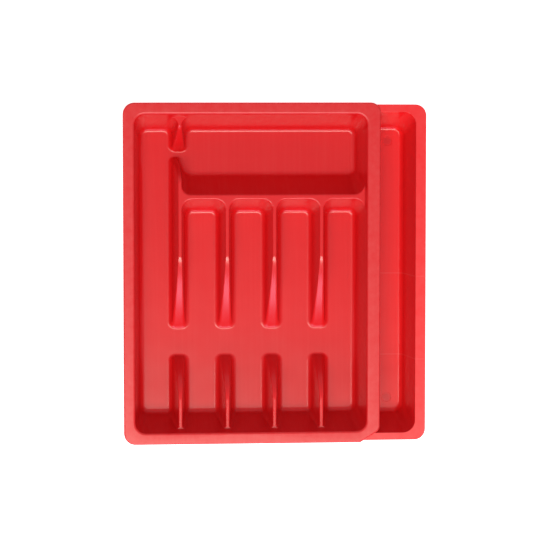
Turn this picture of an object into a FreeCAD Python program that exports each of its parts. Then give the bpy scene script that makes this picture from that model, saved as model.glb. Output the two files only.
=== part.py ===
import FreeCAD, Part
import math
import os

import Sketcher

# An extendable cutlery tray for a kitchen drawer, in millimetres, +Z up, +Y to the back of the
# drawer. Two moulded trays: the upper one, with the compartments, slides left over the lower one.
# The origin is under the middle of the whole object, as it stands partly drawn out.

SIZES = [
    # (name, value, meaning)
    ("tray_width", 290.0, "the closed tray, left to right"),
    ("tray_length", 385.0, "the closed tray, front to back"),
    ("tray_depth", 55.0, "upper tray, from its rim down to its floor"),
    ("opening", 52.0, "how far the upper tray is drawn out to the left"),
    ("wall", 1.8, "thickness of both mouldings"),
    ("rim_width", 12.6, "upper rim at the left, front and back"),
    ("rim_width_right", 14.8, "upper rim at the right, which slides over the lower tray"),
    ("skirt_depth", 9.0, "edge that turns down from the upper rim"),
    ("outer_corner", 13.0, "radius of the upper rim's left corners"),
    ("outer_corner_right", 11.0, "radius of the upper rim's back right corner"),
    ("corner_cut_x", 22.0, "slanted front right corner, left to right"),
    ("corner_cut_y", 14.0, "slanted front right corner, front to back"),
    ("corner_cut_round", 9.0, "radius that blends the slanted corner into the right edge"),
    ("side_draft", 8.0, "slope of the left and right walls, degrees"),
    ("end_draft", 17.5, "slope of the front and back walls, degrees"),
    ("divider_draft", 7.5, "slope of the dividers' flanks, degrees"),
    ("crosswall_back_draft", 26.5, "slope of the cross wall's back, degrees"),
    ("floor_fillet", 4.0, "radius where a wall meets the upper floor"),
    ("corner_top", 12.0, "radius of a compartment's corners at the top"),
    ("corner_floor", 9.0, "radius of a compartment's corners at the floor"),
    ("front_corner_top", 3.0, "radius where a short divider leaves the front wall, at the top"),
    ("front_corner_floor", 6.0, "the same at the floor"),
    ("divider_drop", 12.0, "from the rim down to the dividers' tops"),
    ("divider_thick", 4.1, "width of a divider's top"),
    ("crosswall_thick", 4.9, "width of the cross wall's top"),
    ("first_divider", 51.7, "left rim edge to the middle of the first divider"),
    ("last_narrower", 2.4, "how much narrower the last compartment is"),
    ("crosswall_inset", 93.8, "back rim edge to the middle of the cross wall"),
    ("short_dividers", 84.5, "front rim edge to the foot of the short dividers"),
    ("short_run", 47.6, "length of the short dividers' sloping end"),
    ("finger_gap", 28.7, "clear floor between short and long dividers"),
    ("long_run", 84.8, "length of the long dividers' sloping end"),
    ("stub_foot", 44.0, "back rim edge to the foot of the stub"),
    ("stub_run", 24.0, "length of the stub's sloping end"),
    ("notch_width", 5.0, "clear floor between the stub and the cross wall's end"),
    ("rear_run", 28.0, "length of the slope behind the cross wall"),
    ("slide_clearance", 0.5, "between the upper skirt and the lower rim"),
    ("rim_gap", 0.3, "between the upper rim and the lower rim"),
    ("floor_gap", 1.4, "between the upper floor and the lower floor"),
    ("lower_rim", 8.2, "lower rim at the front and back"),
    ("lower_rim_right", 11.5, "lower rim at the right"),
    ("lower_skirt", 7.0, "edge that turns down from the lower rim"),
    ("lower_corner", 12.5, "radius of the lower rim's right corners"),
    ("lower_corner_top", 14.0, "radius of the lower tray's inner corners at the top"),
    ("lower_corner_floor", 12.0, "radius of the lower tray's inner corners at the floor"),
    ("lower_fillet", 6.0, "radius where a wall meets the lower floor"),
    ("lower_setback", 43.0, "how far the lower tray's open end stops short"),
    ("foot_diameter", 11.0, "non-slip pad"),
    ("foot_height", 2.0, "lower floor above the drawer"),
    ("foot_seat", 0.4, "depth of the pad's seat, and of the dimple above it"),
    ("foot_play", 0.2, "between a pad and its seat, all round"),
    ("foot_edge", 0.6, "rounding of a pad's bottom edge"),
    ("foot_inset_right", 37.0, "right edge to the middle of a right pad"),
    ("foot_inset_left", 16.0, "open end to the middle of a left pad"),
    ("foot_inset_end", 44.5, "front or back edge to the middle of a pad"),
    ("stud_diameter", 12.0, "moulded glide stud under the upper tray's left end"),
    ("stud_clearance", 1.0, "between a stud and the lower tray, when closed"),
    ("stop_width", 2.5, "stop bead and stop rib, left to right"),
    ("stop_height", 1.0, "stop bead and stop rib, up and down"),
    ("stop_clearance", 0.3, "between the bead and the rib, when fully drawn out"),
    ("bead_length", 270.0, "stop bead, front to back"),
    ("rib_length", 100.0, "stop rib, front to back"),
]

OVERSHOOT = 5.0  # how far a cutting shape runs past what it cuts

doc = FreeCAD.newDocument("cutlery_tray")
sheet = doc.addObject("Spreadsheet::Sheet", "Sizes")
for row, (alias, size, meaning) in enumerate(SIZES, 1):
    sheet.set(f"A{row}", meaning)
    sheet.set(f"B{row}", str(size))
    sheet.setAlias(f"B{row}", alias)
doc.recompute()

# Heights, as expressions on the sheet
LOWER_FLOOR = "(Sizes.foot_height + Sizes.wall)"
UPPER_FLOOR = f"({LOWER_FLOOR} + Sizes.floor_gap + Sizes.wall)"
RIM = f"({UPPER_FLOOR} + Sizes.tray_depth)"
LOWER_RIM = f"({RIM} - Sizes.wall - Sizes.rim_gap)"
DIVIDER_TOP = f"({RIM} - Sizes.divider_drop)"

# A wall is (where it is, at which height, its slope, which way it leans as it goes down)
LEFT_EDGE = "(Sizes.rim_width - Sizes.tray_width / 2)"
RIGHT_EDGE = "(Sizes.tray_width / 2 - Sizes.rim_width_right)"
FRONT_EDGE = "(Sizes.rim_width - Sizes.tray_length / 2)"
BACK_EDGE = "(Sizes.tray_length / 2 - Sizes.rim_width)"
LEFT_WALL = (LEFT_EDGE, RIM, "Sizes.side_draft", 1)
RIGHT_WALL = (RIGHT_EDGE, RIM, "Sizes.side_draft", -1)
FRONT_WALL = (FRONT_EDGE, RIM, "Sizes.end_draft", 1)
BACK_WALL = (BACK_EDGE, RIM, "Sizes.end_draft", -1)
TUB = (LEFT_WALL, RIGHT_WALL, FRONT_WALL, BACK_WALL)

# The four dividers share out what the first compartment leaves of the width
DIVIDERS = 4
FIRST_DIVIDER = f"({LEFT_EDGE} + Sizes.first_divider)"
SHARED_WIDTH = (f"({RIGHT_EDGE} - Sizes.divider_drop * tan(Sizes.side_draft)"
                f" + Sizes.divider_thick / 2 - {FIRST_DIVIDER} + Sizes.last_narrower)")
PITCH = f"({SHARED_WIDTH} / {DIVIDERS})"
CROSSWALL = f"({BACK_EDGE} - Sizes.crosswall_inset)"
CROSSWALL_BACK = (f"({CROSSWALL} + Sizes.crosswall_thick / 2)", DIVIDER_TOP,
                  "Sizes.crosswall_back_draft", 1)
CROSSWALL_FRONT = (f"({CROSSWALL} - Sizes.crosswall_thick / 2)", DIVIDER_TOP,
                   "Sizes.end_draft", -1)

# The lower tray's open end and walls
OPEN_END = "(Sizes.lower_setback - Sizes.tray_width / 2)"
LOWER_OUTSIDE = "(Sizes.tray_length / 2 - Sizes.wall - Sizes.slide_clearance)"
LOWER_RIGHT = ("(Sizes.tray_width / 2 - Sizes.lower_rim_right)", LOWER_RIM, "Sizes.side_draft", -1)
LOWER_FRONT = (f"(Sizes.lower_rim - {LOWER_OUTSIDE})", LOWER_RIM, "Sizes.end_draft", 1)
LOWER_BACK = (f"({LOWER_OUTSIDE} - Sizes.lower_rim)", LOWER_RIM, "Sizes.end_draft", -1)

# The stops meet when the tray is fully drawn out: the rib is under the last compartment
LAST_DIVIDER = f"({FIRST_DIVIDER} + {DIVIDERS - 1} * {PITCH})"
RIB_MIDDLE = (f"(({LAST_DIVIDER} + {RIGHT_EDGE}"
              f" - Sizes.tray_depth * tan(Sizes.side_draft)) / 2 + Sizes.floor_fillet)")


def number(expression):
    """Value of an expression on the sheet."""
    return float(sheet.evalExpression(expression))


def divider_face(index, side):
    """Left (-1) or right (+1) flank of a divider."""
    middle = f"{FIRST_DIVIDER} + {index} * {PITCH}"
    return (f"({middle} + {side} * Sizes.divider_thick / 2)", DIVIDER_TOP, "Sizes.divider_draft", side)


def wall_at(wall, height, grow):
    """Where a sloping wall is at a height, moved out of the compartment by grow."""
    place, reference, draft, lean = wall
    fall = f"({reference} - ({height}))"
    return f"{place} + {lean} * ({fall} * tan({draft}) - {grow} / cos({draft}))"


def sketch_on(body, name, role, offset):
    """Empty sketch on one of the body's own origin planes, raised by an expression."""
    sketch = body.newObject("Sketcher::SketchObject", name)
    plane = next(item for item in body.Origin.OriginFeatures if item.Role == role)
    sketch.AttachmentSupport = [(plane, "")]
    sketch.MapMode = "FlatFace"
    sketch.setExpression("AttachmentOffset.Base.z", offset)
    return sketch


def hold(sketch, kind, *terms, size):
    """Dimension whose value is an expression."""
    index = sketch.addConstraint(Sketcher.Constraint(kind, *terms, number(size)))
    sketch.renameConstraint(index, f"{kind.lower()}_{index}")
    sketch.setExpression(f"Constraints[{index}]", size)


def rounded_outline(sketch, sides, radii):
    """Rectangle from left, right, front and back expressions. The radii go round from the back
    left corner clockwise, and None leaves a corner sharp."""
    left, right, front, back = (number(side) for side in sides)
    corners = [(left, back, 1, -1), (right, back, -1, -1), (right, front, -1, 1), (left, front, 1, 1)]
    blends = [number(radius) if radius else 0.0 for radius in radii]
    arcs = {}
    for index, (x, y, inward_x, inward_y) in enumerate(corners):
        if not radii[index]:
            continue
        middle = FreeCAD.Vector(x + inward_x * blends[index], y + inward_y * blends[index], 0)
        start = {0: 90, 1: 0, 2: 270, 3: 180}[index]
        circle = Part.Circle(middle, FreeCAD.Vector(0, 0, 1), blends[index])
        bow = Part.ArcOfCircle(circle, math.radians(start), math.radians(start + 90))
        arcs[index] = sketch.addGeometry(bow)
    lines = []
    for index, (x, y, inward_x, inward_y) in enumerate(corners):
        following = (index + 1) % len(corners)
        end_x, end_y, after_x, after_y = corners[following]
        level = index % 2 == 0
        start = FreeCAD.Vector(x + blends[index] * inward_x * level,
                               y + blends[index] * inward_y * (not level), 0)
        end = FreeCAD.Vector(end_x + blends[following] * after_x * level,
                             end_y + blends[following] * after_y * (not level), 0)
        lines.append(sketch.addGeometry(Part.LineSegment(start, end)))
        sketch.addConstraint(Sketcher.Constraint("Horizontal" if level else "Vertical", lines[-1]))
    for index in range(len(corners)):
        before, after = lines[index - 1], lines[index]
        if index in arcs:
            sketch.addConstraint(Sketcher.Constraint("Tangent", before, 2, arcs[index], 2))
            sketch.addConstraint(Sketcher.Constraint("Tangent", after, 1, arcs[index], 1))
            hold(sketch, "Radius", arcs[index], size=radii[index])
        else:
            sketch.addConstraint(Sketcher.Constraint("Coincident", before, 2, after, 1))
    top, right_line, bottom, left_line = lines
    hold(sketch, "DistanceX", -1, 1, left_line, 1, size=sides[0])
    hold(sketch, "DistanceX", -1, 1, right_line, 1, size=sides[1])
    hold(sketch, "DistanceY", -1, 1, bottom, 1, size=sides[2])
    hold(sketch, "DistanceY", -1, 1, top, 1, size=sides[3])


def outline_sketch(body, name, height, sides, radii):
    """Rounded outline on a level of its own."""
    sketch = sketch_on(body, name, "XY_Plane", height)
    rounded_outline(sketch, sides, radii)
    return sketch


def loft(body, kind, name, upper, lower):
    """Straight-sided loft between two outlines, added or subtracted."""
    feature = body.newObject(f"PartDesign::{kind}Loft", name)
    feature.Profile = (upper, [""])
    feature.Sections = [(lower, [""])]
    feature.Ruled = True
    doc.recompute()
    return feature


def fillet(body, name, feature, chosen, radius):
    """Fillet on the edges for which chosen(edge) is true."""
    edges = [f"Edge{index}" for index, edge in enumerate(feature.Shape.Edges, 1) if chosen(edge)]
    rounding = body.newObject("PartDesign::Fillet", name)
    rounding.Base = (feature, edges)
    rounding.setExpression("Radius", radius)
    doc.recompute()
    return rounding


def level_at(height):
    """Test for edges that lie at a height."""
    level = number(height)
    return lambda edge: all(abs(corner.Z - level) < 1e-5 for corner in edge.Vertexes)


def drafted_body(name, walls, top, bottom, corners, grow="0", blend=None):
    """Body between four sloping walls, with the bottom edges rounded by blend. Corners are the
    (top, floor) radii, from the back left clockwise, and grow moves every wall outwards."""
    body = doc.addObject("PartDesign::Body", name)
    levels = []
    for level, (height, index) in {"top": (top, 0), "bottom": (bottom, 1)}.items():
        sides = [wall_at(wall, height, grow) for wall in walls]
        radii = [pair and f"{pair[index]} + {grow}" for pair in corners]
        levels.append(outline_sketch(body, f"{name}_{level}", height, sides, radii))
    shape = loft(body, "Additive", f"{name}_loft", *levels)
    if blend:
        fillet(body, f"{name}_blend", shape, level_at(bottom), f"{blend} + {grow}")
    return body


def block(name, low, high):
    """Box between two corners given as expressions."""
    box = doc.addObject("Part::Box", name)
    for axis, size, start, end in zip("xyz", ("Length", "Width", "Height"), low, high):
        box.setExpression(size, f"({end}) - ({start})")
        box.setExpression(f"Placement.Base.{axis}", start)
    return box


def fuse(name, parts):
    """One solid from several."""
    union = doc.addObject("Part::MultiFuse", name)
    union.Shapes = parts
    union.Refine = True
    return union


def cut(name, base, *tools):
    """Base with each tool taken away in turn."""
    for tool in tools:
        rest = doc.addObject("Part::Cut", name)
        rest.Base = base
        rest.Tool = tool
        rest.Refine = True
        base = rest
    return base


def sloping_end(name, foot, run, towards_back, grow):
    """Long bar along X with a quarter ellipse's outline: a divider's end sinks along it from full
    height to its foot. The slope runs back or forward from the foot."""
    middle = f"({foot} + {1 if towards_back else -1} * {run})"
    rise = f"{DIVIDER_TOP} - {UPPER_FLOOR} - {grow}"
    length = f"{run} - {grow}"
    upright = number(rise) > number(length)
    ellipse = doc.addObject("Part::Ellipse", f"{name}_outline")
    ellipse.setExpression("MajorRadius", rise if upright else length)
    ellipse.setExpression("MinorRadius", length if upright else rise)
    # the major axis is turned to stand along Z or to lie along Y, and the normal along X
    turn = FreeCAD.Rotation(FreeCAD.Vector(0, 0, 1) if upright else FreeCAD.Vector(0, 1, 0),
                            FreeCAD.Vector(0, 1, 0), FreeCAD.Vector(1, 0, 0), "XZY")
    ellipse.Placement = FreeCAD.Placement(FreeCAD.Vector(), turn)
    ellipse.setExpression("Placement.Base.x", "-Sizes.tray_width / 2")
    ellipse.setExpression("Placement.Base.y", middle)
    ellipse.setExpression("Placement.Base.z", UPPER_FLOOR)
    bar = doc.addObject("Part::Extrusion", name)
    bar.Base = ellipse
    bar.Dir = FreeCAD.Vector(1, 0, 0)
    bar.Solid = True
    bar.setExpression("LengthFwd", "Sizes.tray_width")
    return bar, middle


def gap_between_ends(name, left, right, front_foot, front_run, back_foot, back_run, grow):
    """Open space between the sloping ends of two dividers that face each other."""
    front, front_middle = sloping_end(f"{name}_front", front_foot, front_run, False, grow)
    back, back_middle = sloping_end(f"{name}_back", back_foot, back_run, True, grow)
    box = block(f"{name}_box", (left, front_middle, f"{UPPER_FLOOR} - {grow}"),
                (right, back_middle, f"{DIVIDER_TOP} + {OVERSHOOT}"))
    return cut(name, box, fuse(f"{name}_ends", [front, back]))


def compartment_voids(tag, grow):
    """The space in the six compartments and in the gaps between the dividers' ends. With grow it is
    the same surface moved down through the wall, which shapes the hollow underside."""
    tub = ("Sizes.corner_top", "Sizes.corner_floor")
    stub = ("Sizes.corner_floor", "Sizes.corner_floor")
    front = ("Sizes.front_corner_top", "Sizes.front_corner_floor")

    def space(name, left, right, near, far, corners):
        return drafted_body(f"{tag}_{name}", (left, right, near, far), DIVIDER_TOP,
                            f"{UPPER_FLOOR} - {grow}", corners, grow, "Sizes.floor_fillet")

    voids = [
        space("left", LEFT_WALL, divider_face(0, -1), FRONT_WALL, BACK_WALL, (tub, stub, front, tub)),
        space("across", divider_face(0, 1), RIGHT_WALL, CROSSWALL_BACK, BACK_WALL,
              (stub, tub, tub, tub)),
    ]
    for index in range(DIVIDERS):
        last = index == DIVIDERS - 1
        right = RIGHT_WALL if last else divider_face(index + 1, -1)
        voids.append(space(f"lane_{index + 1}", divider_face(index, 1), right, FRONT_WALL,
                           CROSSWALL_FRONT, (tub, tub, tub if last else front, front)))
    left = f"({LEFT_EDGE} + Sizes.first_divider / 2)"
    short_foot = f"({FRONT_EDGE} + Sizes.short_dividers)"
    voids.append(gap_between_ends(
        f"{tag}_finger_gap", left, f"{LAST_DIVIDER} + {PITCH} / 2", short_foot, "Sizes.short_run",
        f"({short_foot} + Sizes.finger_gap)", "Sizes.long_run", grow))
    stub_foot = f"({BACK_EDGE} - Sizes.stub_foot)"
    voids.append(gap_between_ends(
        f"{tag}_notch", left, f"{FIRST_DIVIDER} + {PITCH} / 2", f"({stub_foot} - Sizes.notch_width)",
        "Sizes.rear_run", stub_foot, "Sizes.stub_run", grow))
    return voids


def rim_outline(body, name, height):
    """Outer edge of the upper rim, apart from its slanted corner."""
    half_width, half_length = "Sizes.tray_width / 2", "Sizes.tray_length / 2"
    return outline_sketch(body, name, height,
                          (f"-{half_width}", half_width, f"-{half_length}", half_length),
                          ("Sizes.outer_corner", "Sizes.outer_corner_right", None,
                           "Sizes.outer_corner"))


def upper_blank():
    """Solid block with the upper rim's outline and its slanted front right corner."""
    body = doc.addObject("PartDesign::Body", "upper_blank")
    block_pad = body.newObject("PartDesign::Pad", "blank_pad")
    block_pad.Profile = rim_outline(body, "blank_outline", RIM)
    block_pad.Reversed = True
    block_pad.setExpression("Length", RIM)
    corner = sketch_on(body, "corner_outline", "XY_Plane", RIM)
    x, y = number("Sizes.tray_width / 2"), number("-Sizes.tray_length / 2")
    across, along = number("Sizes.corner_cut_x"), number("Sizes.corner_cut_y")
    points = [FreeCAD.Vector(*place, 0) for place in ((x - across, y), (x, y), (x, y + along))]
    for index, point in enumerate(points):
        corner.addGeometry(Part.LineSegment(point, points[(index + 1) % 3]))
    for index in range(3):
        corner.addConstraint(Sketcher.Constraint("Coincident", index, 2, (index + 1) % 3, 1))
    corner.addConstraint(Sketcher.Constraint("Horizontal", 0))
    corner.addConstraint(Sketcher.Constraint("Vertical", 1))
    hold(corner, "DistanceX", -1, 1, 0, 2, size="Sizes.tray_width / 2")
    hold(corner, "DistanceY", -1, 1, 0, 2, size="-Sizes.tray_length / 2")
    hold(corner, "DistanceX", 0, 1, 0, 2, size="Sizes.corner_cut_x")
    hold(corner, "DistanceY", 1, 1, 1, 2, size="Sizes.corner_cut_y")
    slant = body.newObject("PartDesign::Pocket", "corner_cut")
    slant.Profile = corner
    slant.setExpression("Length", RIM)
    doc.recompute()
    fillet(body, "corner_blend", slant,
           lambda edge: all(math.hypot(end.X - x, end.Y - y - along) < 1e-5 for end in edge.Vertexes),
           "Sizes.corner_cut_round")
    return body


def underside():
    """Everything below the upper tray's wall, as a solid: up to the rim inside the skirt, outside
    the tub, and in the hollow dividers."""
    space = block("below_skirt",
                  (f"-Sizes.tray_width / 2 - {OVERSHOOT}", f"-Sizes.tray_length / 2 - {OVERSHOOT}",
                   f"-{OVERSHOOT}"),
                  (f"Sizes.tray_width / 2 + {OVERSHOOT}", f"Sizes.tray_length / 2 + {OVERSHOOT}",
                   f"{RIM} - Sizes.skirt_depth"))
    inside = doc.addObject("PartDesign::Body", "inside_skirt")
    fill = inside.newObject("PartDesign::Pad", "skirt_fill")
    hollow_corner = "Sizes.outer_corner - Sizes.wall"
    fill.Profile = outline_sketch(
        inside, "skirt_inside", f"{RIM} - Sizes.wall",
        ("Sizes.wall - Sizes.tray_width / 2", f"Sizes.tray_width / 2 + {OVERSHOOT / 2}",
         "Sizes.wall - Sizes.tray_length / 2", "Sizes.tray_length / 2 - Sizes.wall"),
        (hollow_corner, None, None, hollow_corner))
    fill.Reversed = True
    fill.setExpression("Length", "Sizes.skirt_depth")
    mouth = drafted_body("under_mouth", TUB, RIM, f"{DIVIDER_TOP} - Sizes.wall",
                         [("Sizes.corner_top", "Sizes.corner_top")] * 4, "Sizes.wall")
    return cut("underside", fuse("below_rim", [space, inside]), mouth,
               *compartment_voids("under", "Sizes.wall"))


def upper_tray():
    """Upper tray: a block less the compartments and less all that is under its wall, with the
    glide studs and the stop rib underneath."""
    mouth = drafted_body("inner_mouth", TUB, RIM, DIVIDER_TOP,
                         [("Sizes.corner_top", "Sizes.corner_top")] * 4)
    shell = cut("upper_shell", upper_blank(), mouth, *compartment_voids("inner", "0"), underside())
    under = f"({UPPER_FLOOR} - Sizes.wall)"
    rib = block("stop_rib", (f"{RIB_MIDDLE} - Sizes.stop_width / 2", "-Sizes.rib_length / 2",
                             f"{under} - Sizes.stop_height"),
                (f"{RIB_MIDDLE} + Sizes.stop_width / 2", "Sizes.rib_length / 2",
                 f"{under} + Sizes.wall / 2"))
    studs = [stud(name, side) for name, side in (("front_stud", -1), ("back_stud", 1))]
    tray = fuse("upper_tray", [shell, rib, *studs])
    tray.setExpression("Placement.Base.x", "-Sizes.opening / 2")
    return tray


def stud(name, side):
    """Glide stud from the upper floor down to the drawer, just clear of the lower tray when closed."""
    post = doc.addObject("Part::Cylinder", name)
    post.setExpression("Radius", "Sizes.stud_diameter / 2")
    post.setExpression("Height", f"{UPPER_FLOOR} - Sizes.wall / 2")
    post.setExpression("Placement.Base.x",
                       f"{OPEN_END} - Sizes.stud_clearance - Sizes.stud_diameter / 2")
    post.setExpression("Placement.Base.y", f"{side} * (Sizes.tray_length / 2 - Sizes.foot_inset_end)")
    return post


def foot_places():
    """(name, x, y) of the four pads, on the lower tray's own middle."""
    for depth, side in (("front", -1), ("back", 1)):
        for end, x in (("left", f"{OPEN_END} + Sizes.foot_inset_left"),
                       ("right", "Sizes.tray_width / 2 - Sizes.foot_inset_right")):
            yield f"foot_{depth}_{end}", x, f"{side} * (Sizes.tray_length / 2 - Sizes.foot_inset_end)"


def foot_circles(body, name, height, radius):
    """Four circles at the pads' places."""
    sketch = sketch_on(body, name, "XY_Plane", height)
    for index, (_, x, y) in enumerate(foot_places()):
        middle = FreeCAD.Vector(number(x), number(y), 0)
        sketch.addGeometry(Part.Circle(middle, FreeCAD.Vector(0, 0, 1), number(radius)))
        hold(sketch, "Radius", index, size=radius)
        hold(sketch, "DistanceX", -1, 1, index, 3, size=x)
        hold(sketch, "DistanceY", -1, 1, index, 3, size=y)
    return sketch


def lower_tray():
    """Lower tray: one plain compartment, open at the left so that the upper tray can slide out."""
    body = doc.addObject("PartDesign::Body", "lower_tray")
    right, front, back = "Sizes.tray_width / 2", f"-{LOWER_OUTSIDE}", LOWER_OUTSIDE
    rim = body.newObject("PartDesign::Pad", "lower_rim")
    rim.Profile = outline_sketch(body, "lower_rim_outline", LOWER_RIM, (OPEN_END, right, front, back),
                                 (None, "Sizes.lower_corner", "Sizes.lower_corner", None))
    rim.Reversed = True
    rim.setExpression("Length", "Sizes.lower_skirt")
    hollow = body.newObject("PartDesign::Pocket", "lower_skirt_hollow")
    hollow_corner = "Sizes.lower_corner - Sizes.wall"
    hollow.Profile = outline_sketch(
        body, "lower_skirt_inside", f"{LOWER_RIM} - Sizes.wall",
        (f"{OPEN_END} - {OVERSHOOT}", f"{right} - Sizes.wall", f"{front} + Sizes.wall",
         f"{back} - Sizes.wall"), (None, hollow_corner, hollow_corner, None))
    hollow.setExpression("Length", "Sizes.lower_skirt")

    def tub(kind, name, open_end, top, grow):
        levels = []
        floor = f"{LOWER_FLOOR} - {grow}"
        for level, height, corner in (("top", top, "Sizes.lower_corner_top"),
                                      ("bottom", floor, "Sizes.lower_corner_floor")):
            sides = (open_end, *(wall_at(wall, height, grow)
                                 for wall in (LOWER_RIGHT, LOWER_FRONT, LOWER_BACK)))
            radius = f"{corner} + {grow}"
            levels.append(outline_sketch(body, f"{name}_{level}", height, sides,
                                         (None, radius, radius, None)))
        return loft(body, kind, name, *levels), floor

    _, under = tub("Additive", "lower_outer", OPEN_END, f"{LOWER_RIM} - Sizes.wall / 2", "Sizes.wall")
    shape, floor = tub("Subtractive", "lower_inner", f"{OPEN_END} - {OVERSHOOT}", LOWER_RIM, "0")
    end = number(OPEN_END)
    # the outside is rounded last, because the inner corner would break through it while sharp
    for name, height, grow in (("lower_inner_blend", floor, "0"),
                               ("lower_outer_blend", under, "Sizes.wall")):
        shape = fillet(body, name, shape,
                       lambda edge: level_at(height)(edge) and any(v.X > end + 1 for v in edge.Vertexes),
                       f"Sizes.lower_fillet + {grow}")
    for name, height, radius, downwards in (
            ("foot_seats", "Sizes.foot_height", "Sizes.foot_diameter / 2 + Sizes.foot_play", False),
            ("floor_dimples", LOWER_FLOOR, "Sizes.foot_diameter / 2", True)):
        sink = body.newObject("PartDesign::Pocket", name)
        sink.Profile = foot_circles(body, f"{name}_outline", height, radius)
        sink.Reversed = not downwards
        sink.setExpression("Length", "Sizes.foot_seat")
    bead = body.newObject("PartDesign::Pad", "stop_bead")
    bead.Profile = outline_sketch(body, "stop_bead_outline", LOWER_FLOOR, (
        OPEN_END, f"{OPEN_END} + Sizes.stop_width", "-Sizes.bead_length / 2",
        "Sizes.bead_length / 2"), (None,) * 4)
    bead.setExpression("Length", "Sizes.stop_height")
    body.setExpression("Placement.Base.x", "Sizes.opening / 2")
    return body


def foot(name, x, y):
    """Round non-slip pad, seated in the underside of the lower tray."""
    body = doc.addObject("PartDesign::Body", name)
    sketch = sketch_on(body, f"{name}_outline", "XY_Plane", "0")
    sketch.addGeometry(Part.Circle(FreeCAD.Vector(), FreeCAD.Vector(0, 0, 1),
                                   number("Sizes.foot_diameter / 2")))
    sketch.addConstraint(Sketcher.Constraint("Coincident", 0, 3, -1, 1))
    hold(sketch, "Radius", 0, size="Sizes.foot_diameter / 2")
    pad = body.newObject("PartDesign::Pad", f"{name}_pad")
    pad.Profile = sketch
    pad.setExpression("Length", "Sizes.foot_height + Sizes.foot_seat")
    doc.recompute()
    fillet(body, f"{name}_edge", pad, level_at("0"), "Sizes.foot_edge")
    body.setExpression("Placement.Base.x", f"{x} + Sizes.opening / 2")
    body.setExpression("Placement.Base.y", y)
    return body


pieces = [upper_tray(), lower_tray(), *(foot(*place) for place in foot_places())]
doc.recompute()
for item in doc.Objects:
    if "Invalid" in item.State or "Error" in item.State:
        raise RuntimeError(f"{item.Label} failed: {item.State}")
os.makedirs("parts", exist_ok=True)
for piece in pieces:
    if piece.Shape.isNull() or not piece.Shape.isValid():
        raise RuntimeError(f"{piece.Label} has no valid shape")
    piece.Shape.exportStep(f"parts/{piece.Label}.step")
    print(piece.Label, len(piece.Shape.Solids), "solid", round(piece.Shape.Volume / 1000, 2), "cm3")
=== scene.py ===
import math

import bmesh
import bpy
from mathutils import Matrix, Vector


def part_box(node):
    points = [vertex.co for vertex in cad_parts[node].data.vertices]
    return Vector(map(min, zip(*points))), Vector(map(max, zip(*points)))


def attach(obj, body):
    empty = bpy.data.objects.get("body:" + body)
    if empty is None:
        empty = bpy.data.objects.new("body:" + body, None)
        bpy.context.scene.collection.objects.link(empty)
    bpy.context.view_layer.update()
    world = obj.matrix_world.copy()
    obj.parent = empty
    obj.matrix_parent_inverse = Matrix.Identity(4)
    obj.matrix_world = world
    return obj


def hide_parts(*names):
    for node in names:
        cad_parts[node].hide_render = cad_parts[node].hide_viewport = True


# An extendable cutlery tray for a kitchen drawer, in metres. The lower tray stands on four pads,
# and the upper tray, with the compartments, is drawn out to the left over it.
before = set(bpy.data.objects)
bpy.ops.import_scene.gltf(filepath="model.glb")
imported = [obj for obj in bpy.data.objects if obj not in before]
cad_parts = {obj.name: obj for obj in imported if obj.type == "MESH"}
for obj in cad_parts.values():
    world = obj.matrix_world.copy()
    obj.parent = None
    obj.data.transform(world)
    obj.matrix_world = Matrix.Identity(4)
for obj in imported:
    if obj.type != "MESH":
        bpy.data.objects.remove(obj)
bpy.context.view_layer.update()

# ---- Lower tray -------------------------------------------------------------------------------
# The plain tray that stays put in the drawer. Injection-moulded polypropylene, 1.8 mm thick, in one
# piece with its rim, its skirt and the bead along its open left end.

MM = 0.001


def linear(hex_colour):
    """sRGB hex to the linear colour that a shader wants."""
    parts = [int(hex_colour[place:place + 2], 16) / 255 for place in (0, 2, 4)]
    return [part / 12.92 if part <= 0.04045 else ((part + 0.055) / 1.055) ** 2.4
            for part in parts] + [1]


def add_node(material, kind, settings=None, links=None):
    """A node with its settings and its inputs. An input is a value, or another node's output."""
    node = material.node_tree.nodes.new(kind)
    for name, value in (settings or {}).items():
        setattr(node, name, value)
    for name, source in (links or {}).items():
        if isinstance(source, bpy.types.NodeSocket):
            material.node_tree.links.new(source, node.inputs[name])
        else:
            node.inputs[name].default_value = source
    return node


def new_material(name):
    """An empty node material with its output."""
    material = bpy.data.materials.new(name)
    material.use_nodes = True
    material.node_tree.nodes.clear()
    return material, add_node(material, "ShaderNodeOutputMaterial")


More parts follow.
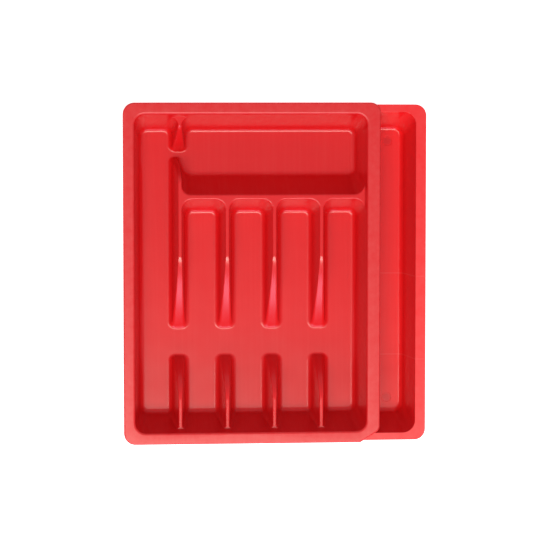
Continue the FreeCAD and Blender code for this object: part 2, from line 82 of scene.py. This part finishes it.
def moulded_polypropylene(name, body_hex, deep_hex, rim_height):
    """Injection-moulded polypropylene, self-coloured red. The slightly waxy plastic is satin in the
    compartments, where the mould was polished, and duller on the rim, which hands and the drawer
    rub. The rim's top also gets a painted sheen: a paler pink in cloudy patches."""
    material, output = new_material(name)
    place = add_node(material, "ShaderNodeTexCoord").outputs["Object"]
    # broad uneven colour, where the melt cooled sooner or later
    cloud = add_node(material, "ShaderNodeTexNoise", links={
        "Vector": place, "Scale": 1 / (60 * MM), "Detail": 3, "Roughness": 0.5})
    body = add_node(material, "ShaderNodeMix", {"data_type": "RGBA"}, {
        "Factor": cloud.outputs["Fac"], "A": linear(deep_hex), "B": linear(body_hex)})
    # flow streaks, 5 mm apart and 150 mm long, from front to back as the mould filled
    lengthwise = add_node(material, "ShaderNodeMapping", {"vector_type": "POINT"}, {
        "Vector": place, "Scale": (1 / (5 * MM), 1 / (150 * MM), 1 / (40 * MM))})
    streak = add_node(material, "ShaderNodeTexNoise", links={
        "Vector": lengthwise.outputs["Vector"], "Scale": 1, "Detail": 4, "Roughness": 0.6})
    faint = add_node(material, "ShaderNodeMapRange", links={
        "Value": streak.outputs["Fac"], "From Min": 0.45, "From Max": 0.8, "To Min": 0, "To Max": 0.07})
    flowed = add_node(material, "ShaderNodeMix", {"data_type": "RGBA"}, {
        "Factor": faint.outputs["Result"], "A": body.outputs["Result"], "B": linear("F25A57")})
    # painted sheen on the rim: a paler pink in cloudy patches about 9 mm across, on its top 1.5 mm only,
    # for the light that the rim's top catches
    height = add_node(material, "ShaderNodeSeparateXYZ", links={"Vector": place}).outputs["Z"]
    on_rim = add_node(material, "ShaderNodeMapRange", links={
        "Value": height, "From Min": rim_height - 1.5 * MM, "From Max": rim_height - 0.4 * MM,
        "To Min": 0, "To Max": 1})
    rim_sheen_patches = add_node(material, "ShaderNodeTexNoise", links={
        "Vector": place, "Scale": 1 / (9 * MM), "Detail": 7, "Roughness": 0.72})
    rim_sheen_amount = add_node(material, "ShaderNodeMapRange", links={
        "Value": rim_sheen_patches.outputs["Fac"], "From Min": 0.35, "From Max": 0.75, "To Min": 0, "To Max": 0.1})
    painted_rim_sheen = add_node(material, "ShaderNodeMath", {"operation": "MULTIPLY"}, {
        0: on_rim.outputs["Result"], 1: rim_sheen_amount.outputs["Result"]})
    # the rim's painted sheen: pale pink mixed into the red
    shade = add_node(material, "ShaderNodeMix", {"data_type": "RGBA"}, {
        "Factor": painted_rim_sheen.outputs["Value"], "A": flowed.outputs["Result"], "B": linear("E8908A")})
    dullness = add_node(material, "ShaderNodeMapRange", links={
        "Value": on_rim.outputs["Result"], "From Min": 0, "From Max": 1, "To Min": 0.24, "To Max": 0.32})
    # the mould's spark-eroded texture is 0.1 mm fine, and is drawn at 0.7 mm so that it shows
    grain = add_node(material, "ShaderNodeTexNoise", links={
        "Vector": place, "Scale": 1 / (0.7 * MM), "Detail": 2, "Roughness": 0.6})
    # the surface waves very slightly, 35 mm from wave to wave, where the plastic shrank as it cooled
    sink_marks = add_node(material, "ShaderNodeTexNoise", links={
        "Vector": place, "Scale": 1 / (35 * MM), "Detail": 1, "Roughness": 0.4})
    waves = add_node(material, "ShaderNodeBump", links={
        "Height": sink_marks.outputs["Fac"], "Strength": 0.35, "Distance": 0.5 * MM})
    relief = add_node(material, "ShaderNodeBump", links={
        "Height": grain.outputs["Fac"], "Strength": 0.1, "Distance": 0.06 * MM,
        "Normal": waves.outputs["Normal"]})
    surface = add_node(material, "ShaderNodeBsdfPrincipled", links={
        "Base Color": shade.outputs["Result"], "Roughness": dullness.outputs["Result"], "IOR": 1.49,
        "Specular IOR Level": 0.5, "Normal": relief.outputs["Normal"]})
    material.node_tree.links.new(surface.outputs["BSDF"], output.inputs["Surface"])
    return material


def dress(node, material):
    """The material on every slot of a CAD node."""
    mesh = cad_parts[node].data
    mesh.materials.clear()
    mesh.materials.append(material)


# painted light: the lower tray's red is brighter than the upper tray's, though both are the same
# plastic, to make up for the light its narrow floor strip beside the upper tray misses
lower_red_painted_brighter = moulded_polypropylene("lower_tray_polypropylene", "F02226", "EC1E22",
                                  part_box("lower_tray")[1].z)
# on the floor, deeper red discs over the right pads are painted shade, for the shallow dimple of each
# pad's seat; the floor is also paler along two weld lines, where the melt met. They run across the tray
# at these places, in mm from its middle.
WELD_LINES = (-4, -98)
skin = lower_red_painted_brighter.node_tree.nodes["Principled BSDF"]
colour = skin.inputs["Base Color"].links[0].from_socket
place = add_node(lower_red_painted_brighter, "ShaderNodeTexCoord").outputs["Object"]
# painted shade: a deeper red disc over each right pad's seat
for pad in ("foot_front_right", "foot_back_right"):
    pad_low, pad_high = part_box(pad)
    away_from_pad = add_node(lower_red_painted_brighter, "ShaderNodeVectorMath", {"operation": "DISTANCE"}, {
        0: place, 1: (pad_low + pad_high) / 2})
    pad_seat_shade = add_node(lower_red_painted_brighter, "ShaderNodeMapRange", links={
        "Value": away_from_pad.outputs["Value"], "From Min": 6.5 * MM, "From Max": 4 * MM,
        "To Min": 0, "To Max": 0.6})
    colour = add_node(lower_red_painted_brighter, "ShaderNodeMix", {"data_type": "RGBA"}, {
        "Factor": pad_seat_shade.outputs["Result"], "A": colour, "B": linear("D01A22")}).outputs["Result"]
along = add_node(lower_red_painted_brighter, "ShaderNodeSeparateXYZ", links={"Vector": place}).outputs["Y"]
for weld_line in WELD_LINES:
    off_weld = add_node(lower_red_painted_brighter, "ShaderNodeMath", {"operation": "SUBTRACT"}, {
        0: along, 1: weld_line * MM})
    distance = add_node(lower_red_painted_brighter, "ShaderNodeMath", {"operation": "ABSOLUTE"}, {
        0: off_weld.outputs["Value"]})
    on_weld = add_node(lower_red_painted_brighter, "ShaderNodeMapRange", links={
        "Value": distance.outputs["Value"], "From Min": 0.9 * MM, "From Max": 0.2 * MM,
        "To Min": 0, "To Max": 0.2})
    colour = add_node(lower_red_painted_brighter, "ShaderNodeMix", {"data_type": "RGBA"}, {
        "Factor": on_weld.outputs["Result"], "A": colour, "B": linear("F4706C")}).outputs["Result"]
lower_red_painted_brighter.node_tree.links.new(colour, skin.inputs["Base Color"])
dress("lower_tray", lower_red_painted_brighter)
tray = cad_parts["lower_tray"]
# the mesh is joined and its flat faces made whole, so that only true edges are softened
merge = tray.modifiers.new("merge", "WELD")
merge.merge_threshold = 0.02 * MM
flat = tray.modifiers.new("flat_faces", "DECIMATE")
flat.decimate_type = "DISSOLVE"
flat.angle_limit = math.radians(1.5)
soften = tray.modifiers.new("soft_edges", "BEVEL")
soften.width = 0.9 * MM
soften.segments = 3
soften.limit_method = "ANGLE"
soften.angle_limit = math.radians(32)
soften.use_clamp_overlap = True
even = tray.modifiers.new("even_shading", "WEIGHTED_NORMAL")
even.keep_sharp = True
for face in tray.data.polygons:
    face.use_smooth = True

# ---- Pads -------------------------------------------------------------------------------------
# Four round non-slip pads, stuck into seats under the lower tray. Die-cut from soft thermoplastic
# rubber, charcoal, with a fine matt skin.
rubber, output = new_material("thermoplastic_rubber")
place = add_node(rubber, "ShaderNodeTexCoord").outputs["Object"]
# talc and dust in patches 2 mm across lighten the charcoal a little
dust = add_node(rubber, "ShaderNodeTexNoise", links={
    "Vector": place, "Scale": 1 / (2 * MM), "Detail": 4, "Roughness": 0.6})
shade = add_node(rubber, "ShaderNodeMix", {"data_type": "RGBA"}, {
    "Factor": dust.outputs["Fac"], "A": linear("2B2B2C"), "B": linear("3E3D3C")})
# matt pebbled skin, 0.4 mm between pebbles
pebble = add_node(rubber, "ShaderNodeTexVoronoi", links={"Vector": place, "Scale": 1 / (0.4 * MM)})
relief = add_node(rubber, "ShaderNodeBump", links={
    "Height": pebble.outputs["Distance"], "Strength": 0.3, "Distance": 0.1 * MM})
skin = add_node(rubber, "ShaderNodeBsdfPrincipled", links={
    "Base Color": shade.outputs["Result"], "Roughness": 0.78, "Normal": relief.outputs["Normal"]})
rubber.node_tree.links.new(skin.outputs["BSDF"], output.inputs["Surface"])
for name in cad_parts:
    if name.startswith("foot"):
        dress(name, rubber)

# ---- Upper tray -------------------------------------------------------------------------------
# The tray with the compartments, which slides over the lower one. Injection-moulded
# polypropylene in one piece: every wall is 1.8 mm thick, so the dividers are hollow underneath.
tray_low, tray_high = (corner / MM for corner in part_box("upper_tray"))
# Below the rim's top: the compartments' floor, the dividers' tops and the skirt's edge
TRAY_DEPTH, DIVIDER_DROP, SKIRT = 55, 12, 9.0
RIM, FLOOR, CREST = tray_high.z, tray_high.z - TRAY_DEPTH, tray_high.z - DIVIDER_DROP
WALL = 1.8
MOUTH = {"left": tray_low.x + 12.6, "right": tray_high.x - 14.8,
         "front": tray_low.y + 12.6, "back": tray_high.y - 12.6}
SIDE_DRAFT, END_DRAFT, DIVIDER_DRAFT, BACK_DRAFT = (math.radians(a) for a in (8, 17.5, 7.5, 26.5))
FLOOR_ROUND, FOOT_ROUND, CREST_ROUND, MOUTH_ROUND, EDGE_ROUND = 6.0, 2.2, 1.2, 2.6, 1.6
# Radii in plan, each at the dividers' tops and at the floor: the corners of the compartments, the
# stub's root, where a short divider leaves the front wall, and the dividers' noses.
CORNER, ROOT, SQUARE, NOSE = (12, 9), (8.5, 9), (3.2, 6), (1.2, 4)
# In the same way, the elbow between the first divider and the cross wall, and how far the slanted
# side of the slope behind it draws in.
ELBOW, SLANTED_END = (10, 12), (0, 9)
# The most of half a divider's thickness that the radius of its nose takes, and of the slope behind
NOSE_LIMIT, SLANTED_LIMIT = 0.97, 0.96
# The rim's outer corners, and the slanted one at the front right
LEFT_CORNER, RIGHT_CORNER, SLANT_ACROSS, SLANT_ALONG, SLANT_ROUND = 13, 11, 22, 14, 9
HALF_DIVIDER, HALF_CROSSWALL = 2.05, 2.45
FIRST_DIVIDER, DIVIDER_PITCH = MOUTH["left"] + 51.7, 53.42
CROSSWALL = MOUTH["back"] - 93.8
SHORT_FOOT, SHORT_RUN = MOUTH["front"] + 84.5, 47.6
LONG_FOOT, LONG_RUN = SHORT_FOOT + 28.7, 84.8
STUB_FOOT, STUB_RUN = MOUTH["back"] - 44, 29.5
REAR_FOOT, REAR_RUN = STUB_FOOT - 5, 28
FOOT_DRAFT, FOOT_BACK = math.radians(20), 1  # how steeply an end meets the floor, and its set-back


def floor_blend(height, draft, radius=FLOOR_ROUND):
    """How far the fillet stands out from a wall into the compartment."""
    up = height - FLOOR
    if up >= radius * (1 - math.sin(draft)):
        return 0
    bow = math.sqrt(max(0, radius ** 2 - (radius - up) ** 2))
    return up * math.tan(draft) - radius * (math.tan(draft) - 1 / math.cos(draft)) - bow


def crest_blend(height):
    """How far a divider's face draws in where its top edge is rounded."""
    up = height - (CREST - CREST_ROUND)
    return 0 if up <= 0 else CREST_ROUND - math.sqrt(max(0, CREST_ROUND ** 2 - up ** 2))


def mouth_blend(height, draft):
    """How far the rounded mouth edge stands back from the wall."""
    up = height - (RIM - MOUTH_ROUND)
    if up <= MOUTH_ROUND * math.sin(draft):
        return 0
    bow = math.sqrt(max(0, MOUTH_ROUND ** 2 - up ** 2))
    return MOUTH_ROUND / math.cos(draft) - bow - up * math.tan(draft)


def tub_wall(side, height):
    """Where an outer wall of the compartments is at a height."""
    draft = END_DRAFT if side in ("front", "back") else SIDE_DRAFT
    inwards = 1 if side in ("left", "front") else -1
    step = (RIM - height) * math.tan(draft) + floor_blend(height, draft) - mouth_blend(height, draft)
    return MOUTH[side] + inwards * step


def ridge_face(middle, half, side, draft, height):
    """Where a divider's or the cross wall's face is at a height."""
    step = half + (CREST - height) * math.tan(draft) + floor_blend(height, draft)
    return middle + side * (step - crest_blend(height))


def sloping_end(foot, run, towards, bow, height):
    """Where a divider's end is at a height. It falls from the divider's top to the foot in a curve,
    a straight line at bow 1 and a parabola at bow 0.5, and has a fillet at the floor."""
    fallen = max(0, (CREST - height) / (CREST - FLOOR))
    out = run * (fallen ** bow - 1)
    return foot + towards * (out + floor_blend(height, FOOT_DRAFT, FOOT_ROUND) - FOOT_BACK)


def between(height, pair):
    """A size that changes evenly, from the pair's first at the dividers' tops to its second at the
    floor."""
    crest, floor = pair
    return floor + (crest - floor) * (height - FLOOR) / (CREST - FLOOR)


def rounded(corners, steps):
    """Points round an outline. A corner is (x, y, radius), and no radius leaves one point."""
    points = []
    for index, (x, y, radius) in enumerate(corners):
        here = Vector((x, y))
        if not radius:
            points.append(here)
            continue
        before = (Vector(corners[index - 1][:2]) - here).normalized()
        after = (Vector(corners[(index + 1) % len(corners)][:2]) - here).normalized()
        half = before.angle(after) / 2
        back = radius / math.tan(half)
        middle = here + (before + after).normalized() * (radius / math.sin(half))
        start, end = here + before * back - middle, here + after * back - middle
        turn = start.angle_signed(end)
        for step in range(steps + 1):
            angle = -turn * step / steps
            points.append(middle + Matrix.Rotation(angle, 2) @ start)
    return points


def compartments(height):
    """Outline of the open space inside the tray at a height, up to the dividers' tops."""
    left, right, front, back = (tub_wall(side, height) for side in MOUTH)
    blend = floor_blend(height, SIDE_DRAFT)
    tub, root, square = (between(height, radii) - blend for radii in (CORNER, ROOT, SQUARE))
    nose = between(height, NOSE) + blend
    pairs = [[ridge_face(FIRST_DIVIDER + i * DIVIDER_PITCH, HALF_DIVIDER, side, DIVIDER_DRAFT, height)
              for side in (-1, 1)] for i in range(4)]
    nose = min(nose, NOSE_LIMIT * (pairs[0][1] - pairs[0][0]) / 2)
    cross_front = ridge_face(CROSSWALL, HALF_CROSSWALL, -1, END_DRAFT, height)
    cross_back = ridge_face(CROSSWALL, HALF_CROSSWALL, 1, BACK_DRAFT, height)
    short = sloping_end(SHORT_FOOT, SHORT_RUN, 1, 0.5, height)
    long = sloping_end(LONG_FOOT, LONG_RUN, -1, 0.72, height)
    rear = sloping_end(REAR_FOOT, REAR_RUN, 1, 0.5, height)
    stub = sloping_end(STUB_FOOT, STUB_RUN, -1, 0.75, height)
    corners = [(left, front, tub)]
    for low, high in pairs:
        corners += [(low, front, square), (low, short, nose), (high, short, nose),
                    (high, front, square)]
    corners += [(right, front, tub), (right, cross_front, tub)]
    for low, high in reversed(pairs):
        corners += [(high, cross_front, tub), (high, long, nose), (low, long, nose),
                    (low, cross_front, tub)]
    corners.pop()
    low, high = pairs[0]
    slanted = high - between(height, SLANTED_END)
    narrow = min(nose, SLANTED_LIMIT * (slanted - low) / 2)
    corners += [(low, rear, narrow), (slanted, rear, narrow),
                (high, cross_back, between(height, ELBOW)),
                (right, cross_back, tub), (right, back, tub), (high, back, root),
                (high, stub, nose), (low, stub, nose), (low, back, root), (left, back, tub)]
    return [(*point, height) for point in rounded(corners, steps=8)]


def mouth(height):
    """Outline of the opening above the dividers. Its single points meet the dividers' roots."""
    left, right, front, back = (tub_wall(side, height) for side in MOUTH)
    radius = CORNER[0] + mouth_blend(height, SIDE_DRAFT)
    pairs = [[ridge_face(FIRST_DIVIDER + i * DIVIDER_PITCH, HALF_DIVIDER, side, DIVIDER_DRAFT, CREST)
              for side in (-1, 1)] for i in range(4)]
    corners = [(left, front, radius)]
    for low, high in pairs:
        corners += [(low - SQUARE[0], front, None), (high + SQUARE[0], front, None)]
    low, high = pairs[0]
    corners += [(right, front, radius),
                (right, ridge_face(CROSSWALL, HALF_CROSSWALL, -1, END_DRAFT, CREST) - CORNER[0], None),
                (right, ridge_face(CROSSWALL, HALF_CROSSWALL, 1, BACK_DRAFT, CREST) + CORNER[0], None),
                (right, back, radius), (high + ROOT[0], back, None), (low - ROOT[0], back, None),
                (left, back, radius)]
    return [(*point, height) for point in rounded(corners, steps=8)]


def flange(inset, height):
    """Outer edge of the rim, with its slanted front right corner."""
    left, right = tray_low.x + inset, tray_high.x - inset
    front, back = tray_low.y + inset, tray_high.y - inset
    corners = [(left, front, LEFT_CORNER - inset), (right - SLANT_ACROSS, front, 2),
               (right, front + SLANT_ALONG, SLANT_ROUND), (right, back, RIGHT_CORNER - inset),
               (left, back, LEFT_CORNER - inset)]
    return [(*point, height) for point in rounded(corners, steps=10)]


def add_loop(bm, points):
    """A closed loop of edges through points given in millimetres."""
    corners = [bm.verts.new(Vector(point) * MM) for point in points]
    return [bm.edges.new((corners[i - 1], corners[i])) for i in range(len(corners))]


def piece_from(bm, name, material):
    """A finished bmesh as an object in the scene, with its material."""
    mesh = bpy.data.meshes.new(name)
    bm.to_mesh(mesh)
    bm.free()
    mesh.materials.append(material)
    piece = bpy.data.objects.new(name, mesh)
    bpy.context.scene.collection.objects.link(piece)
    return piece


def stack(bm, loops):
    """Skin over a stack of loops, each bridged to the next."""
    rings = [add_loop(bm, points) for points in loops]
    for lower, upper in zip(rings, rings[1:]):
        bmesh.ops.bridge_loops(bm, edges=lower + upper)
    return rings


# The skin is laid over outlines at many heights, close together where it curves
fillet_levels = [FLOOR + FLOOR_ROUND * (1 - math.cos(math.radians(a)))
                 for a in (0, 15, 30, 45, 60, 72)]
slope_levels = [CREST - (CREST - FLOOR) * (step / 20) ** 2 for step in range(19, 3, -1)]
crest_levels = [CREST - CREST_ROUND * (1 - math.sin(math.radians(a))) for a in (10, 30, 50, 70, 90)]
levels = fillet_levels + [z for z in slope_levels if z > fillet_levels[-1] + 0.5] + [
    CREST - CREST_ROUND] + crest_levels
bm = bmesh.new()
stack(bm, [compartments(height) for height in levels])
mouth_levels = [CREST, RIM - MOUTH_ROUND] + [
    RIM - MOUTH_ROUND * (1 - math.sin(math.radians(a))) for a in (18, 36, 54, 72, 90)]
mouth_rings = stack(bm, [mouth(height) for height in mouth_levels])
flange_rings = stack(bm, [flange(EDGE_ROUND * (1 - math.sin(math.radians(a))),
                                 RIM - EDGE_ROUND * (1 - math.cos(math.radians(a))))
                          for a in (0, 22, 45, 68, 90)])
bmesh.ops.triangle_fill(bm, edges=mouth_rings[-1] + flange_rings[0], use_beauty=True)  # rim's top
bmesh.ops.remove_doubles(bm, verts=bm.verts, dist=0.004 * MM)
for level in (CREST, FLOOR):
    open_edges = [edge for edge in bm.edges if edge.is_boundary
                  and all(abs(corner.co.z / MM - level) < 0.001 for corner in edge.verts)]
    bmesh.ops.holes_fill(bm, edges=open_edges)
# The skirt hangs round the left end and along the front and the back. It stops short of the right
# side, which only has the rim's own edge.
ROUND_LEFT_END, SKIRT_STOP = tray_low.x + 20, tray_high.x - 5
edge_ring = [edge for edge in bm.edges if edge.is_boundary]
skirt = bmesh.ops.extrude_edge_only(bm, edges=edge_ring)["geom"]
for corner in (item for item in skirt if isinstance(item, bmesh.types.BMVert)):
    hangs = corner.co.x < ROUND_LEFT_END * MM or (
        abs(corner.co.y) > (tray_high.y - WALL) * MM and corner.co.x < SKIRT_STOP * MM)
    corner.co.z = (RIM - SKIRT if hangs else RIM - WALL) * MM
bmesh.ops.recalc_face_normals(bm, faces=bm.faces)
if sum(face.normal.z * face.calc_area() for face in bm.faces) < 0:
    bmesh.ops.reverse_faces(bm, faces=bm.faces)
red = moulded_polypropylene("upper_tray_polypropylene", "DA1C20", "D6181C", RIM * MM)
compartment_tray = piece_from(bm, "compartment_tray", red)
for face in compartment_tray.data.polygons:
    face.use_smooth = True
wall = compartment_tray.modifiers.new("wall", "SOLIDIFY")
wall.thickness = WALL * MM
wall.offset = -1
wall.use_even_offset = True
soften = compartment_tray.modifiers.new("soft_edges", "BEVEL")
soften.width = 0.4 * MM
soften.segments = 2
soften.limit_method = "ANGLE"
soften.angle_limit = math.radians(60)
even = compartment_tray.modifiers.new("even_shading", "WEIGHTED_NORMAL")
even.keep_sharp = True
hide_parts("upper_tray")
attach(compartment_tray, "upper")

# ---- Glide studs and stop rib -----------------------------------------------------------------
# Moulded in one with the upper tray: two round studs glide on the drawer's bottom under its left
# end, and a rib under its last compartment catches the lower tray's bead when fully drawn out.
STUD_RADIUS, STUD_X, STUD_Y = 6, tray_low.x + 36, tray_high.y - 44.5
RIB_X, RIB_WIDTH, RIB_LENGTH, RIB_DEPTH = tray_high.x - 40, 2.5, 100, 1.0
INSET = WALL / 2  # both reach up into the middle of the floor's thickness
stud_top = FLOOR - INSET
for name, side in (("glide_stud_front", -1), ("glide_stud_back", 1)):
    bm = bmesh.new()
    bmesh.ops.create_cone(bm, cap_ends=True, segments=48, radius1=STUD_RADIUS * MM,
                          radius2=STUD_RADIUS * MM, depth=stud_top * MM)
    bottom = [edge for edge in bm.edges if all(corner.co.z < 0 for corner in edge.verts)]
    bmesh.ops.bevel(bm, geom=bottom, offset=0.7 * MM, offset_type="OFFSET", segments=4, profile=0.5,
                    affect="EDGES", material=-1)
    bmesh.ops.translate(bm, verts=bm.verts, vec=Vector((STUD_X, side * STUD_Y, stud_top / 2)) * MM)
    stud = piece_from(bm, name, red)
    for face in stud.data.polygons:
        face.use_smooth = len(face.vertices) == 4
    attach(stud, "upper")

bm = bmesh.new()
bmesh.ops.create_cube(bm, size=1)
rib_tall = RIB_DEPTH + INSET
bmesh.ops.scale(bm, verts=bm.verts, vec=Vector((RIB_WIDTH, RIB_LENGTH, rib_tall)) * MM)
bmesh.ops.bevel(bm, geom=bm.edges[:], offset=0.3 * MM, offset_type="OFFSET", segments=2, profile=0.5,
                affect="EDGES", material=-1)
bmesh.ops.translate(bm, verts=bm.verts, vec=Vector((
    RIB_X, 0, FLOOR - WALL - RIB_DEPTH + rib_tall / 2)) * MM)
rib = piece_from(bm, "stop_rib", red)
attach(rib, "upper")

# ---- Floor and light --------------------------------------------------------------------------
# White studio paper, lit so evenly that it hardly takes a shadow. One softbox hangs overhead and a
# little to the front, and a weaker pink one in front lights the slopes and the rounded edges.
paper, output = new_material("white_paper")
# matt white, with a glow of its own that washes the shadows out
sheet = add_node(paper, "ShaderNodeBsdfPrincipled", links={
    "Base Color": linear("F8F8F8"), "Roughness": 0.9, "Specular IOR Level": 0.1,
    "Emission Color": (1, 1, 1, 1), "Emission Strength": 0.8})
paper.node_tree.links.new(sheet.outputs["BSDF"], output.inputs["Surface"])
bm = bmesh.new()
bmesh.ops.create_grid(bm, x_segments=1, y_segments=1, size=6)
floor = piece_from(bm, "floor", paper)

world = bpy.data.worlds.new("studio")
world.use_nodes = True
world.node_tree.nodes["Background"].inputs["Color"].default_value = (0.95, 0.93, 1, 1)
world.node_tree.nodes["Background"].inputs["Strength"].default_value = 0.44
bpy.context.scene.world = world


def softbox(name, place, size, power, colour):
    """Area light in metres and watts that faces the tray."""
    lamp = bpy.data.lights.new(name, "AREA")
    lamp.shape = "RECTANGLE"
    lamp.size, lamp.size_y = size
    lamp.energy = power
    lamp.color = colour
    holder = bpy.data.objects.new(name, lamp)
    holder.location = place
    holder.rotation_mode = "QUATERNION"
    holder.rotation_quaternion = (-Vector(place)).to_track_quat("-Z", "Y")
    bpy.context.scene.collection.objects.link(holder)


softbox("overhead_softbox", (-0.2, -1.1, 2.7), (2.0, 0.8), 58, (1, 0.96, 0.86))
softbox("front_softbox", (-0.15, -2.3, 1.4), (2.2, 0.7), 21, (1, 0.72, 1))

# ---- Camera -----------------------------------------------------------------------------------
# It looks almost straight down from 2.8 m, from a few degrees to the left and the back.
DISTANCE = 2.8
FIELD = 0.6227  # width of the view at the rim's height
SENSOR = 36
LEAN_LEFT, LEAN_BACK = math.radians(4.96), math.radians(4.26)
target = Vector((0.0012, -0.0030, 0.062))
away = Vector((-math.tan(LEAN_LEFT), math.tan(LEAN_BACK), 1)).normalized()
lens = bpy.data.cameras.new("camera")
lens.sensor_width = SENSOR
lens.lens = SENSOR * DISTANCE / FIELD
lens.clip_end = 20
camera = bpy.data.objects.new("camera", lens)
camera.location = target + away * DISTANCE
camera.rotation_mode = "QUATERNION"
across = Vector((0, 1, 0)).cross(away).normalized()
camera.rotation_quaternion = Matrix((across, away.cross(across), away)).transposed().to_quaternion()
bpy.context.scene.collection.objects.link(camera)
bpy.context.scene.camera = camera
bpy.context.scene.view_settings.view_transform = "Standard"
